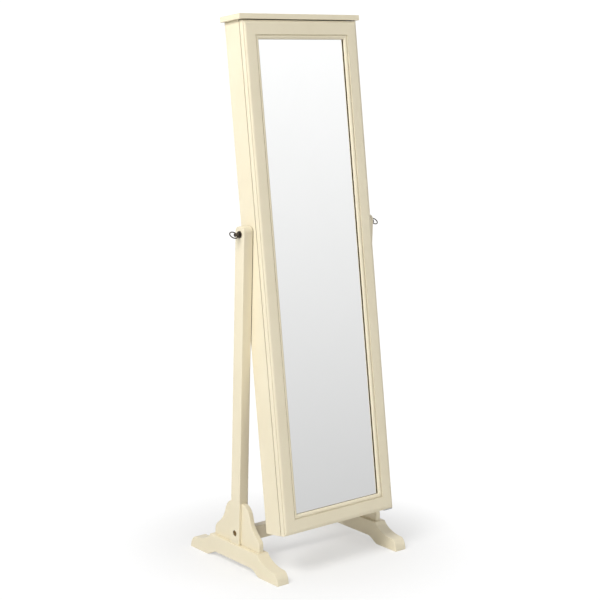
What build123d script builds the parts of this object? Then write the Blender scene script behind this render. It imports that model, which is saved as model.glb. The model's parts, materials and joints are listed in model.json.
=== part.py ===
from build123d import *
import os

# Cheval mirror with a shallow jewellery cabinet behind a mirrored door.
# The cabinet tilts between two posts, and clamp knobs hold it where it is put.
# Millimetres. +Z is up, the mirror faces -Y and +X is to the viewer's right.
# The origin is on the floor, midway between the feet.

# --- Stand ---
FOOT_OUTER_X = 252.0
FOOT_THICKNESS = 41.0
FOOT_HALF_LENGTH = 206.0
FOOT_HEIGHT = 66.0
FOOT_SHOULDER_Y = 112.0  # where the flat top ends and the scroll starts
FOOT_TOE_LENGTH = 23.0
FOOT_TOE_HEIGHT = 35.0
FOOT_ARCH_HEIGHT = 18.0
FOOT_ARCH_HALF = 80.0
FOOT_PAD_INNER_Y = 122.0
POST_INNER_X = 215.0
POST_WIDTH = 32.0
POST_DEPTH = 40.0
POST_TOP_Z = 1000.0
POST_CORNER_RADIUS = 14.0
BRACKET_OUTER_X = 238.5
BRACKET_THICKNESS = 16.0
BRACKET_HALF_LENGTH = 104.0
BRACKET_TOP_Z = 191.0
STRETCHER_DEPTH = 25.0
STRETCHER_BOTTOM_Z = 67.0
STRETCHER_TOP_Z = 108.0
EDGE_ROUND = 1.8

# --- Fasteners in the stand ---
BOLT_DIAMETER = 6.0
BOLT_HOLE = 6.2
STRETCHER_BOLT_Z = 98.0
STRETCHER_BOLT_HEAD = 14.5
STRETCHER_BOLT_RECESS = 17.5
STRETCHER_RECESS_DEPTH = 5.0
STRETCHER_BOLT_REACH = 40.0  # how far the bolt runs past the post's inner face
BARREL_NUT_DIAMETER = 10.0
BARREL_NUT_LENGTH = 15.0
BARREL_NUT_X = 187.0
DOWEL_DIAMETER = 8.0
DOWEL_Z = 78.0
DOWEL_REACH = 15.0
FOOT_BOLT_Y = 12.0
FOOT_BOLT_HEAD = 12.0
FOOT_BOLT_RECESS = 14.0
FOOT_BOLT_RECESS_TOP = 27.0
FOOT_BOLT_TIP_Z = 112.0
BRACKET_DOWEL_DIAMETER = 6.0
BRACKET_DOWEL_REACH = 12.0
BRACKET_DOWEL_Y = 78.0
BRACKET_DOWEL_Z = 150.0

# --- Pivot ---
PIVOT_Z = 978.0
TILT_DEG = 9.15  # the cabinet's top leans back by this much at rest
STUD_DIAMETER = 6.0
STUD_CLEARANCE = 0.08
STUD_INNER_X = 202.0
STUD_OUTER_X = 258.0
ROSETTE_DIAMETER = 20.0
ROSETTE_THICKNESS = 3.0
BARREL_DIAMETER = 11.5
BARREL_WAIST = 9.5
BARREL_END_X = 264.0
RING_CENTRE_X = 268.0
RING_RADIUS = 12.0
RING_WIRE = 3.2
RING_LEAN_DEG = 38.0  # how far the ring's plane leans from upright
WASHER_DIAMETER = 24.0
WASHER_THICKNESS = 1.6
INSERT_DIAMETER = 12.0

# --- Cabinet, in its own upright frame with the pivot axis as origin ---
CASE_HALF_WIDTH = 213.0
CASE_FRONT_Y = -30.0
CASE_BACK_Y = 34.0
CASE_TOP_Z = 594.4
CASE_BOTTOM_Z = -863.5
PANEL = 12.0
END_PANEL = 15.0
BACK_PANEL = 4.0
LINING = 3.0
CAP_HEIGHT = 15.0
CAP_HALF_WIDTH = 224.5
CAP_FRONT_Y = -50.5
CAP_BACK_Y = 38.5
CAP_ROUND = 1.2
SHELF_THICKNESS = 9.0
SHELF_TOPS = [200.0, -120.0, -330.0, -590.0]
SHELF_FRONT_Y = -21.5
LIP_HEIGHT = 30.0
LIP_THICKNESS = 6.0
HOOK_RAIL_BOTTOM_Z = 530.0
HOOK_RAIL_HEIGHT = 22.0
HOOK_RAIL_DEPTH = 10.0
HOOK_COUNT = 12
HOOK_PITCH = 30.0
HOOK_REACH = 20.0
HOOK_RISE = 9.0
HOOK_WIRE = 3.0
EARRING_BAR_TOPS = [140.0, 60.0, -20.0]
EARRING_BAR_DEPTH = 4.0
EARRING_BAR_HEIGHT = 14.0
EARRING_BAR_FRONT_Y = 4.0
RING_ROLL_COUNT = 4
RING_ROLL_HEIGHT = 14.0

# --- Door ---
DOOR_BACK_Y = -32.5
DOOR_FRONT_Y = -50.0
DOOR_SIDE_FRONT_Y = -44.5
DOOR_TOP_Z = 592.2
DOOR_BOTTOM_Z = -863.0
DOOR_CORNER = 2.0  # rounding between the door's side face and its ledge
DOOR_LEDGE_END = 4.5
DOOR_COVE_END = 11.5  # where the cove behind the ledge meets the flat
DOOR_BACK_CHAMFER = 1.0
DOOR_FLAT_END = 40.8
DOOR_GROOVE_WIDTH = 2.8
DOOR_GROOVE_DEPTH = 2.8
DOOR_SIGHT = 53.5  # outer edge to the visible glass
DOOR_REBATE = 48.5  # outer edge to the rebate behind the sight edge
GLASS_FRONT_Y = -43.0
GLASS_THICKNESS = 4.0
BACKING_THICKNESS = 3.0
STOP_WIDTH = 9.0
STOP_THICKNESS = 3.1
FIT_GAP = 0.5  # glass and boards to the rebate, all round

# --- Door hinges and catch ---
DOOR_PIN_X = 209.5
DOOR_PIN_Y = -42.5
DOOR_PIN_DIAMETER = 4.0
DOOR_PIN_CLEARANCE = 0.08
LEAF_THICKNESS = 2.0
LEAF_LENGTH = 34.0
LEAF_WIDTH = 7.0
LEAF_INSET = 1.5
TOP_PLATE_THICKNESS = 2.0
BOTTOM_PLATE_THICKNESS = 2.0
CATCH_X = -190.0
CATCH_Z = -60.0
STRIKE_THICKNESS = 0.8

SIDES = {"left": -1, "right": 1}


def block(x_range, y_range, z_range):
    """Solid box between two values on each axis."""
    sizes = [high - low for low, high in (x_range, y_range, z_range)]
    centre = [(high + low) / 2 for low, high in (x_range, y_range, z_range)]
    return Pos(*centre) * Box(*sizes)


def rod(start, direction, length, diameter):
    """Round bar from a start point along a direction."""
    base = Cylinder(diameter / 2, length, align=(Align.CENTER, Align.CENTER, Align.MIN))
    return Plane(origin=start, z_dir=direction) * base


def side_shape(outline, x_low, x_high):
    """Solid between two X values from an outline drawn in (Y, Z)."""
    face = make_face(Plane.YZ * outline)
    return Pos(x_low, 0, 0) * extrude(face, amount=x_high - x_low, dir=(1, 0, 0))


def ease_side_edges(solid, x_values, radius, keep=None):
    """Rounds the outline edges of the two faces that look along X."""
    for x in x_values:
        face = solid.faces().filter_by(Axis.X).sort_by(lambda f: abs(f.center().X - x))[0]
        edges = [edge for edge in face.edges() if keep is None or not keep(edge)]
        solid = fillet(edges, radius)
    return solid


def outward(side, x_inner, x_outer):
    """The X range of a piece on one side, given as distances from the middle."""
    return tuple(sorted((side * x_inner, side * x_outer)))


def tilted(shape):
    """Moves a cabinet or door piece from its upright frame to its place at rest."""
    return Location((0, 0, PIVOT_Z), (-TILT_DEG, 0, 0)) * shape


# ---------------------------------------------------------------- stand

def foot(side):
    """Shaped foot: flat under the post, scrolled towards each toe, arched underneath."""
    toe_y = FOOT_HALF_LENGTH - FOOT_TOE_LENGTH
    half = Line((0, FOOT_ARCH_HEIGHT), (FOOT_ARCH_HALF, FOOT_ARCH_HEIGHT))
    half += Bezier(
        (FOOT_ARCH_HALF, FOOT_ARCH_HEIGHT),
        (FOOT_ARCH_HALF + 18, FOOT_ARCH_HEIGHT),
        (FOOT_PAD_INNER_Y - 16, 4),
        (FOOT_PAD_INNER_Y, 0),
    )
    half += Line((FOOT_PAD_INNER_Y, 0), (FOOT_HALF_LENGTH, 0))
    half += EllipticalCenterArc(
        (toe_y, 0),
        FOOT_TOE_LENGTH,
        FOOT_TOE_HEIGHT,
        start_angle=0,
        arc_size=90,
    )
    half += Bezier(
        (toe_y, FOOT_TOE_HEIGHT),
        (toe_y - 33, FOOT_TOE_HEIGHT),
        (FOOT_SHOULDER_Y + 6, FOOT_HEIGHT - 14),
        (FOOT_SHOULDER_Y, FOOT_HEIGHT),
    )
    half += Line((FOOT_SHOULDER_Y, FOOT_HEIGHT), (0, FOOT_HEIGHT))
    half += Line((0, FOOT_HEIGHT), (0, FOOT_ARCH_HEIGHT))
    x_range = (FOOT_OUTER_X - FOOT_THICKNESS, FOOT_OUTER_X)
    front_half = side_shape(half, *x_range)
    body = front_half + mirror(front_half, about=Plane.XZ)
    body = ease_side_edges(
        body,
        x_range,
        EDGE_ROUND,
        keep=lambda edge: edge.center().Z < FOOT_ARCH_HEIGHT + 1,
    )
    post_x = POST_INNER_X + POST_WIDTH / 2
    recess_depth = FOOT_BOLT_RECESS_TOP - FOOT_ARCH_HEIGHT
    for y in (-FOOT_BOLT_Y, FOOT_BOLT_Y):
        start = (post_x, y, FOOT_ARCH_HEIGHT - 1)
        body -= rod(start, (0, 0, 1), FOOT_HEIGHT, BOLT_HOLE)
        body -= rod(start, (0, 0, 1), recess_depth + 1, FOOT_BOLT_RECESS)
    for pin in bracket_dowel_rods(1):
        body -= pin
    return body if side > 0 else mirror(body, about=Plane.YZ)


def post(side):
    """Upright bar with a rounded top, bored for the pivot, the bolts and the dowels."""
    half = POST_DEPTH / 2
    flat = half - POST_CORNER_RADIUS
    shoulder_z = POST_TOP_Z - POST_CORNER_RADIUS
    outline = Line((-half, FOOT_HEIGHT), (half, FOOT_HEIGHT))
    outline += Line((half, FOOT_HEIGHT), (half, shoulder_z))
    outline += RadiusArc((half, shoulder_z), (flat, POST_TOP_Z), -POST_CORNER_RADIUS)
    outline += Line((flat, POST_TOP_Z), (-flat, POST_TOP_Z))
    outline += RadiusArc((-flat, POST_TOP_Z), (-half, shoulder_z), -POST_CORNER_RADIUS)
    outline += Line((-half, shoulder_z), (-half, FOOT_HEIGHT))
    x_range = outward(side, POST_INNER_X, POST_INNER_X + POST_WIDTH)
    body = side_shape(outline, *x_range)
    body = ease_side_edges(
        body,
        x_range,
        EDGE_ROUND,
        keep=lambda edge: edge.center().Z < FOOT_HEIGHT + 1,
    )
    outer_x = POST_INNER_X + POST_WIDTH
    inward = (-side, 0, 0)
    stud_hole = STUD_DIAMETER + 2 * STUD_CLEARANCE
    body -= rod((side * (outer_x + 1), 0, PIVOT_Z), inward, POST_WIDTH + 2, stud_hole)
    body -= rod((side * (outer_x + 1), 0, STRETCHER_BOLT_Z), inward, POST_WIDTH + 2, BOLT_HOLE)
    body -= rod(
        (side * (outer_x + 1), 0, STRETCHER_BOLT_Z),
        inward,
        STRETCHER_RECESS_DEPTH + 1,
        STRETCHER_BOLT_RECESS,
    )
    body -= stretcher_dowel(side)
    for y in (-FOOT_BOLT_Y, FOOT_BOLT_Y):
        post_x = side * (POST_INNER_X + POST_WIDTH / 2)
        hole_length = FOOT_BOLT_TIP_Z - FOOT_HEIGHT + 2
        body -= rod((post_x, y, FOOT_HEIGHT - 1), (0, 0, 1), hole_length, BOLT_HOLE)
    for pin in bracket_dowel_rods(side):
        body -= pin
    return body


def bracket(side, end):
    """Gusset between foot and post, with a rounded shoulder and an S-shaped edge."""
    near = POST_DEPTH / 2
    far = BRACKET_HALF_LENGTH
    top = BRACKET_TOP_Z
    shoulder = (near + 37, top - 34)
    turn = (near + 60, top - 75)
    heel_z = top - 109
    outline = Bezier((near, top), (near + 20, top), (near + 32, top - 15), shoulder)
    outline += Bezier(shoulder, (near + 40, top - 46), (near + 46, top - 61), turn)
    outline += Bezier(turn, (near + 72, top - 87), (far, top - 91), (far, heel_z))
    outline += Line((far, heel_z), (far, FOOT_HEIGHT))
    outline += Line((far, FOOT_HEIGHT), (near, FOOT_HEIGHT))
    outline += Line((near, FOOT_HEIGHT), (near, BRACKET_TOP_Z))
    x_range = outward(side, BRACKET_OUTER_X - BRACKET_THICKNESS, BRACKET_OUTER_X)
    body = side_shape(outline, *x_range)
    body = ease_side_edges(
        body,
        x_range,
        EDGE_ROUND,
        keep=lambda edge: edge.center().Z < FOOT_HEIGHT + 1 or edge.center().Y < near + 1,
    )
    if end < 0:
        body = mirror(body, about=Plane.XZ)
    for pin in bracket_dowel_rods(side):
        body -= pin
    return body


def bracket_dowel_rods(side):
    """Two dowels for each bracket: one down into the foot and one into the post."""
    x = side * (BRACKET_OUTER_X - BRACKET_THICKNESS / 2)
    length = 2 * BRACKET_DOWEL_REACH
    rods = []
    for end in (-1, 1):
        foot_start = (x, end * BRACKET_DOWEL_Y, FOOT_HEIGHT - BRACKET_DOWEL_REACH)
        rods.append(rod(foot_start, (0, 0, 1), length, BRACKET_DOWEL_DIAMETER))
        post_start = (x, end * (POST_DEPTH / 2 - BRACKET_DOWEL_REACH), BRACKET_DOWEL_Z)
        rods.append(rod(post_start, (0, end, 0), length, BRACKET_DOWEL_DIAMETER))
    return rods


def stretcher_dowel(side):
    """Wooden dowel below the bolt, half in the post and half in the stretcher."""
    start = (side * (POST_INNER_X - DOWEL_REACH), 0, DOWEL_Z)
    return rod(start, (side, 0, 0), 2 * DOWEL_REACH, DOWEL_DIAMETER)


def stretcher():
    """Low rail between the posts."""
    half_depth = STRETCHER_DEPTH / 2
    body = block(
        (-POST_INNER_X, POST_INNER_X),
        (-half_depth, half_depth),
        (STRETCHER_BOTTOM_Z, STRETCHER_TOP_Z),
    )
    body = fillet(body.edges().filter_by(Axis.X), EDGE_ROUND)
    for side in SIDES.values():
        start = (side * (POST_INNER_X + 1), 0, STRETCHER_BOLT_Z)
        body -= rod(start, (-side, 0, 0), STRETCHER_BOLT_REACH + 3, BOLT_HOLE)
        body -= stretcher_dowel(side)
        nut_start = (side * BARREL_NUT_X, half_depth + 1, STRETCHER_BOLT_Z)
        nut_depth = half_depth + 1 + BARREL_NUT_LENGTH / 2
        body -= rod(nut_start, (0, -1, 0), nut_depth, BARREL_NUT_DIAMETER + 0.2)
    return body


def stretcher_bolt(side):
    """Flat-headed bolt with a hexagon socket, seated in the post's outer recess."""
    seat_x = POST_INNER_X + POST_WIDTH - STRETCHER_RECESS_DEPTH
    length = seat_x - (POST_INNER_X - STRETCHER_BOLT_REACH)
    inward = (-side, 0, 0)
    seat = (side * seat_x, 0, STRETCHER_BOLT_Z)
    head = rod(seat, (side, 0, 0), 3.5, STRETCHER_BOLT_HEAD)
    socket_plane = Plane(origin=(side * (seat_x + 1), 0, STRETCHER_BOLT_Z), z_dir=(side, 0, 0))
    socket = socket_plane * extrude(RegularPolygon(2.3, 6), amount=4)
    return head - socket + rod(seat, inward, length, BOLT_DIAMETER)


def barrel_nut(side):
    """Cross nut in the stretcher that takes the bolt's end."""
    start = (side * BARREL_NUT_X, BARREL_NUT_LENGTH / 2, STRETCHER_BOLT_Z)
    nut = rod(start, (0, -1, 0), BARREL_NUT_LENGTH, BARREL_NUT_DIAMETER)
    return nut - rod((0, 0, STRETCHER_BOLT_Z), (side, 0, 0), FOOT_OUTER_X, BOLT_DIAMETER + 0.05)


def foot_bolt(side, y):
    """Bolt from a recess in the foot's arch up into the post."""
    x = side * (POST_INNER_X + POST_WIDTH / 2)
    seat = (x, y, FOOT_BOLT_RECESS_TOP)
    head = rod(seat, (0, 0, -1), 4, FOOT_BOLT_HEAD)
    return head + rod(seat, (0, 0, 1), FOOT_BOLT_TIP_Z - FOOT_BOLT_RECESS_TOP, BOLT_DIAMETER)


def rosette(side):
    """Stepped metal disc round the pivot on the post's outer face."""
    face_x = POST_INNER_X + POST_WIDTH
    disc = rod((side * face_x, 0, PIVOT_Z), (side, 0, 0), ROSETTE_THICKNESS, ROSETTE_DIAMETER)
    outer_edge = disc.edges().sort_by(Axis.X)[-1 if side > 0 else 0]
    disc = fillet(outer_edge, 1.2)
    hole = rod((0, 0, PIVOT_Z), (side, 0, 0), FOOT_OUTER_X + 20, STUD_DIAMETER + 2 * STUD_CLEARANCE)
    return disc - hole


# ---------------------------------------------------------------- clamp knobs

def knob(side):
    """Turned barrel with a ring handle on its end."""
    start_x = POST_INNER_X + POST_WIDTH + ROSETTE_THICKNESS + 0.3
    collar_end = start_x + 3.5
    bead_start = BARREL_END_X - 3.5
    out = (side, 0, 0)
    body = rod((side * start_x, 0, PIVOT_Z), out, collar_end - start_x, BARREL_DIAMETER)
    body += rod((side * collar_end, 0, PIVOT_Z), out, bead_start - collar_end, BARREL_WAIST)
    body += rod((side * bead_start, 0, PIVOT_Z), out, BARREL_END_X - bead_start, BARREL_DIAMETER - 0.6)
    ring = Torus(RING_RADIUS, RING_WIRE / 2)
    body += Location((side * RING_CENTRE_X, 0, PIVOT_Z), (RING_LEAN_DEG, 0, 0)) * ring
    bore = rod((side * start_x, 0, PIVOT_Z), out, STUD_OUTER_X - start_x, STUD_DIAMETER)
    return body - bore


def knob_stud(side):
    """Threaded stud from the knob through the post into the cabinet's insert."""
    start = (side * STUD_INNER_X, 0, PIVOT_Z)
    return rod(start, (side, 0, 0), STUD_OUTER_X - STUD_INNER_X, STUD_DIAMETER)


# ---------------------------------------------------------------- cabinet (upright frame)

def side_panel(side):
    """Side of the case, bored for the pivot insert."""
    x_range = outward(side, CASE_HALF_WIDTH - PANEL, CASE_HALF_WIDTH)
    body = block(x_range, (CASE_FRONT_Y, CASE_BACK_Y), (CASE_BOTTOM_Z, CASE_TOP_Z))
    outer_face = body.faces().sort_by(Axis.X)[-1 if side > 0 else 0]
    body = fillet(outer_face.edges().filter_by(Axis.Z), EDGE_ROUND)
    body -= rod((0, 0, 0), (side, 0, 0), CASE_HALF_WIDTH + 1, INSERT_DIAMETER)
    rebate_x = outward(side, CASE_HALF_WIDTH - PANEL - 1, CASE_HALF_WIDTH - PANEL / 2)
    rebate_y = (CASE_BACK_Y - BACK_PANEL, CASE_BACK_Y + 1)
    body -= block(rebate_x, rebate_y, (CASE_BOTTOM_Z - 1, CASE_TOP_Z + 1))
    return body


def end_panel(z_range):
    """Board between the sides at the top or the bottom of the case."""
    inner = CASE_HALF_WIDTH - PANEL
    return block((-inner, inner), (CASE_FRONT_Y, CASE_BACK_Y - BACK_PANEL), z_range)


def back_panel():
    """Thin board let into the rebates of the sides."""
    half = CASE_HALF_WIDTH - PANEL / 2
    return block((-half, half), (CASE_BACK_Y - BACK_PANEL, CASE_BACK_Y), (CASE_BOTTOM_Z, CASE_TOP_Z))


def back_screw_places():
    """Places round the back panel's edge where its screws go."""
    x = CASE_HALF_WIDTH - PANEL * 0.75
    z_low = CASE_BOTTOM_Z + END_PANEL / 2
    z_high = CASE_TOP_Z - END_PANEL / 2
    rows = 7
    places = []
    for row in range(rows):
        z = z_low + (z_high - z_low) * row / (rows - 1)
        places += [(-x, z), (x, z)]
    for x_inner in (-CASE_HALF_WIDTH / 2, 0, CASE_HALF_WIDTH / 2):
        places += [(x_inner, z_low), (x_inner, z_high)]
    return places


def back_screw(place):
    """Small round-headed screw in the back panel."""
    x, z = place
    head = rod((x, CASE_BACK_Y, z), (0, 1, 0), 1.5, 6.0)
    return head + rod((x, CASE_BACK_Y, z), (0, -1, 0), 14, 2.4)


def top_cap():
    """Flat board on top of the case that overhangs it all round."""
    body = block(
        (-CAP_HALF_WIDTH, CAP_HALF_WIDTH),
        (CAP_FRONT_Y, CAP_BACK_Y),
        (CASE_TOP_Z, CASE_TOP_Z + CAP_HEIGHT),
    )
    body = fillet(body.edges().group_by(Axis.Z)[-1] + body.edges().filter_by(Axis.Z), CAP_ROUND)
    plate_front = DOOR_PIN_Y - LEAF_WIDTH / 2
    body -= block(
        (CASE_HALF_WIDTH - LEAF_LENGTH, CASE_HALF_WIDTH),
        (plate_front, plate_front + LEAF_WIDTH),
        (CASE_TOP_Z - 1, CASE_TOP_Z + TOP_PLATE_THICKNESS),
    )
    for place in cap_screw_places():
        body -= cap_screw(place)
    return body


def cap_screw_places():
    """Places of the screws that hold the cap, driven up through the top panel."""
    return [(x, y) for x in (-150.0, 0.0, 150.0) for y in (-15.0, 15.0)]


def cap_screw(place):
    """Countersunk screw from inside the case up into the cap."""
    x, y = place
    shank = rod((x, y, CASE_TOP_Z - END_PANEL + 3), (0, 0, 1), END_PANEL + 7, 4.0)
    head_plane = Plane(origin=(x, y, CASE_TOP_Z - END_PANEL), z_dir=(0, 0, 1))
    head = head_plane * Cone(4.0, 2.0, 3.0, align=(Align.CENTER, Align.CENTER, Align.MIN))
    return head + shank


def lining():
    """Soft-covered panel inside the back of the case."""
    inner = CASE_HALF_WIDTH - PANEL
    front = CASE_BACK_Y - BACK_PANEL - LINING
    z_range = (CASE_BOTTOM_Z + END_PANEL, CASE_TOP_Z - END_PANEL)
    return block((-inner, inner), (front, front + LINING), z_range)


def shelf(top_z):
    """Narrow shelf between the sides."""
    inner = CASE_HALF_WIDTH - PANEL
    back = CASE_BACK_Y - BACK_PANEL - LINING
    return block((-inner, inner), (SHELF_FRONT_Y, back), (top_z - SHELF_THICKNESS, top_z))


def shelf_lip(top_z):
    """Strip along a shelf's front edge that keeps things from sliding off."""
    inner = CASE_HALF_WIDTH - PANEL
    bottom = top_z - SHELF_THICKNESS
    body = block(
        (-inner, inner),
        (SHELF_FRONT_Y - LIP_THICKNESS, SHELF_FRONT_Y),
        (bottom, bottom + SHELF_THICKNESS + LIP_HEIGHT),
    )
    return fillet(body.edges().filter_by(Axis.X).group_by(Axis.Z)[-1], 2.0)


def hook_rail():
    """Rail across the lining that carries the necklace hooks."""
    inner = CASE_HALF_WIDTH - PANEL
    back = CASE_BACK_Y - BACK_PANEL - LINING
    rail = block(
        (-inner, inner),
        (back - HOOK_RAIL_DEPTH, back),
        (HOOK_RAIL_BOTTOM_Z, HOOK_RAIL_BOTTOM_Z + HOOK_RAIL_HEIGHT),
    )
    for index in range(HOOK_COUNT):
        rail -= hook(index)
    return rail


def hook(index):
    """Bent wire hook with a ball tip, set into the rail."""
    x = (index - (HOOK_COUNT - 1) / 2) * HOOK_PITCH
    z = HOOK_RAIL_BOTTOM_Z + HOOK_RAIL_HEIGHT / 2
    root_y = CASE_BACK_Y - BACK_PANEL - LINING - HOOK_RAIL_DEPTH / 2
    tip_y = root_y - HOOK_RAIL_DEPTH / 2 - HOOK_REACH
    path = FilletPolyline((x, root_y, z), (x, tip_y, z), (x, tip_y, z + HOOK_RISE), radius=4)
    wire = sweep(Plane(origin=(x, root_y, z), z_dir=(0, -1, 0)) * Circle(HOOK_WIRE / 2), path=path)
    return wire + Pos(x, tip_y, z + HOOK_RISE) * Sphere(HOOK_WIRE * 0.8)


def earring_bar(top_z):
    """Thin bar across the case for hooked earrings."""
    inner = CASE_HALF_WIDTH - PANEL
    body = block(
        (-inner, inner),
        (EARRING_BAR_FRONT_Y, EARRING_BAR_FRONT_Y + EARRING_BAR_DEPTH),
        (top_z - EARRING_BAR_HEIGHT, top_z),
    )
    return fillet(body.edges().filter_by(Axis.X), 1.0)


def ring_cushion():
    """Soft block of parallel rolls that lies behind the lip of the second shelf."""
    inner = CASE_HALF_WIDTH - PANEL - 4
    back = CASE_BACK_Y - BACK_PANEL - LINING - 0.5
    front = SHELF_FRONT_Y + 0.5
    floor = SHELF_TOPS[1]
    pitch = (back - front) / RING_ROLL_COUNT
    body = block((-inner, inner), (front, back), (floor, floor + RING_ROLL_HEIGHT * 0.6))
    for index in range(RING_ROLL_COUNT):
        centre = front + pitch * (index + 0.5)
        body += rod((-inner, centre, floor + RING_ROLL_HEIGHT * 0.6), (1, 0, 0), 2 * inner, pitch - 0.4)
    return body


def pivot_insert(side):
    """Metal sleeve in the cabinet side that the knob's stud screws into."""
    wall = CASE_HALF_WIDTH - PANEL
    outer = rod((side * wall, 0, 0), (side, 0, 0), PANEL, INSERT_DIAMETER)
    flange = rod((side * (wall - 1.5), 0, 0), (side, 0, 0), 1.5, INSERT_DIAMETER + 5)
    hole = rod((0, 0, 0), (side, 0, 0), CASE_HALF_WIDTH + 1, STUD_DIAMETER + 2 * STUD_CLEARANCE)
    return outer + flange - hole


def spacer_washer(side):
    """Washer that keeps the cabinet clear of the post."""
    start = (side * CASE_HALF_WIDTH, 0, 0)
    body = rod(start, (side, 0, 0), WASHER_THICKNESS, WASHER_DIAMETER)
    return body - rod(start, (side, 0, 0), WASHER_THICKNESS + 1, STUD_DIAMETER + 0.8)


# ---------------------------------------------------------------- door (upright frame)

def frame_profile():
    """Section of a door member in (distance from the outer edge, depth)."""
    ledge_y = DOOR_SIDE_FRONT_Y - DOOR_CORNER
    groove_y = DOOR_FRONT_Y + DOOR_GROOVE_DEPTH
    groove_end = DOOR_FLAT_END + DOOR_GROOVE_WIDTH
    lip_y = GLASS_FRONT_Y - 1.5
    chamfer_y = DOOR_BACK_Y - DOOR_BACK_CHAMFER
    profile = Line((DOOR_BACK_CHAMFER, DOOR_BACK_Y), (0, chamfer_y))
    profile += Line((0, chamfer_y), (0, DOOR_SIDE_FRONT_Y))
    profile += RadiusArc((0, DOOR_SIDE_FRONT_Y), (DOOR_CORNER, ledge_y), -DOOR_CORNER)
    profile += Line((DOOR_CORNER, ledge_y), (DOOR_LEDGE_END, ledge_y))
    profile += Bezier(
        (DOOR_LEDGE_END, ledge_y),
        (DOOR_LEDGE_END + 0.4, ledge_y - 2.6),
        (DOOR_COVE_END - 4, DOOR_FRONT_Y),
        (DOOR_COVE_END, DOOR_FRONT_Y),
    )
    profile += Line((DOOR_COVE_END, DOOR_FRONT_Y), (DOOR_FLAT_END, DOOR_FRONT_Y))
    profile += Line((DOOR_FLAT_END, DOOR_FRONT_Y), (DOOR_FLAT_END + 0.4, groove_y))
    profile += Line((DOOR_FLAT_END + 0.4, groove_y), (groove_end, groove_y))
    profile += Bezier(
        (groove_end, groove_y),
        (groove_end + 0.6, DOOR_FRONT_Y - 0.4),
        (DOOR_SIGHT - 2, DOOR_FRONT_Y + 0.5),
        (DOOR_SIGHT, lip_y),
    )
    profile += Line((DOOR_SIGHT, lip_y), (DOOR_SIGHT, GLASS_FRONT_Y))
    profile += Line((DOOR_SIGHT, GLASS_FRONT_Y), (DOOR_REBATE, GLASS_FRONT_Y))
    profile += Line((DOOR_REBATE, GLASS_FRONT_Y), (DOOR_REBATE, DOOR_BACK_Y))
    profile += Line((DOOR_REBATE, DOOR_BACK_Y), (DOOR_BACK_CHAMFER, DOOR_BACK_Y))
    return make_face(profile)


def frame_member(length):
    """Straight mitred member whose outer edge is the line x = 0, centred on z = 0."""
    bar = Pos(0, 0, -length / 2) * extrude(frame_profile(), amount=length, dir=(0, 0, 1))
    reach = DOOR_SIGHT + 1
    trapezium = Polyline(
        (0, -length / 2),
        (reach, -length / 2 + reach),
        (reach, length / 2 - reach),
        (0, length / 2),
        close=True,
    )
    mitre = Plane.XZ * make_face(trapezium)
    keep = Pos(0, DOOR_BACK_Y + 5, 0) * extrude(mitre, amount=60, dir=(0, -1, 0))
    return bar & keep


def stile(side):
    """Upright door member, cut out for the hinge leaves or the strike plate."""
    length = DOOR_TOP_Z - DOOR_BOTTOM_Z
    middle = (DOOR_TOP_Z + DOOR_BOTTOM_Z) / 2
    body = Pos(-CASE_HALF_WIDTH, 0, middle) * frame_member(length)
    if side > 0:
        body = mirror(body, about=Plane.YZ)
    return body - door_recesses()


def rail(end):
    """Cross member at the top (+1) or the bottom (-1) of the door."""
    lying = Rot(0, end * 90, 0) * frame_member(2 * CASE_HALF_WIDTH)
    body = Pos(0, 0, DOOR_TOP_Z if end > 0 else DOOR_BOTTOM_Z) * lying
    return body - door_recesses()


def pane(y_front, thickness):
    """Sheet that lies in the door's rebate."""
    inset = DOOR_REBATE + FIT_GAP
    half = CASE_HALF_WIDTH - inset
    z_range = (DOOR_BOTTOM_Z + inset, DOOR_TOP_Z - inset)
    return block((-half, half), (y_front, y_front + thickness), z_range)


def mirror_stops():
    """Four strips that hold the mirror and its backing in the rebate."""
    inset = DOOR_REBATE + FIT_GAP
    back = DOOR_BACK_Y - 0.3
    y_range = (back - STOP_THICKNESS, back)
    half = CASE_HALF_WIDTH - inset
    z_low = DOOR_BOTTOM_Z + inset
    z_high = DOOR_TOP_Z - inset
    return [
        block((-half, half), y_range, (z_high - STOP_WIDTH, z_high)),
        block((-half, half), y_range, (z_low, z_low + STOP_WIDTH)),
        block((-half, -half + STOP_WIDTH), y_range, (z_low + STOP_WIDTH, z_high - STOP_WIDTH)),
        block((half - STOP_WIDTH, half), y_range, (z_low + STOP_WIDTH, z_high - STOP_WIDTH)),
    ]


def hinge_leaf_range():
    """X and Y ranges shared by the hinge plates and the door's leaves."""
    front = DOOR_PIN_Y - LEAF_WIDTH / 2
    x_outer = CASE_HALF_WIDTH - LEAF_INSET
    return (x_outer - LEAF_LENGTH, x_outer), (front, front + LEAF_WIDTH)


def door_leaf(end):
    """Bearing plate let into the door's top or bottom edge, with a blind pin hole."""
    x_range, y_range = hinge_leaf_range()
    edge_z = DOOR_TOP_Z if end > 0 else DOOR_BOTTOM_Z
    z_range = tuple(sorted((edge_z, edge_z - end * LEAF_THICKNESS)))
    sleeve_start = (DOOR_PIN_X, DOOR_PIN_Y, edge_z)
    sleeve = rod(sleeve_start, (0, 0, -end), 12, DOOR_PIN_DIAMETER + 1.6)
    hole = rod(sleeve_start, (0, 0, -end), 11, DOOR_PIN_DIAMETER + 2 * DOOR_PIN_CLEARANCE)
    return block(x_range, y_range, z_range) + sleeve - hole


def door_recesses():
    """Everything that is let into the door's members."""
    cut = strike_plate()
    x_range, y_range = hinge_leaf_range()
    for end in (-1, 1):
        edge_z = DOOR_TOP_Z if end > 0 else DOOR_BOTTOM_Z
        z_range = tuple(sorted((edge_z + end, edge_z - end * LEAF_THICKNESS)))
        cut += block(x_range, y_range, z_range)
        cut += rod((DOOR_PIN_X, DOOR_PIN_Y, edge_z), (0, 0, -end), 12, DOOR_PIN_DIAMETER + 1.6)
    return cut


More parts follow.
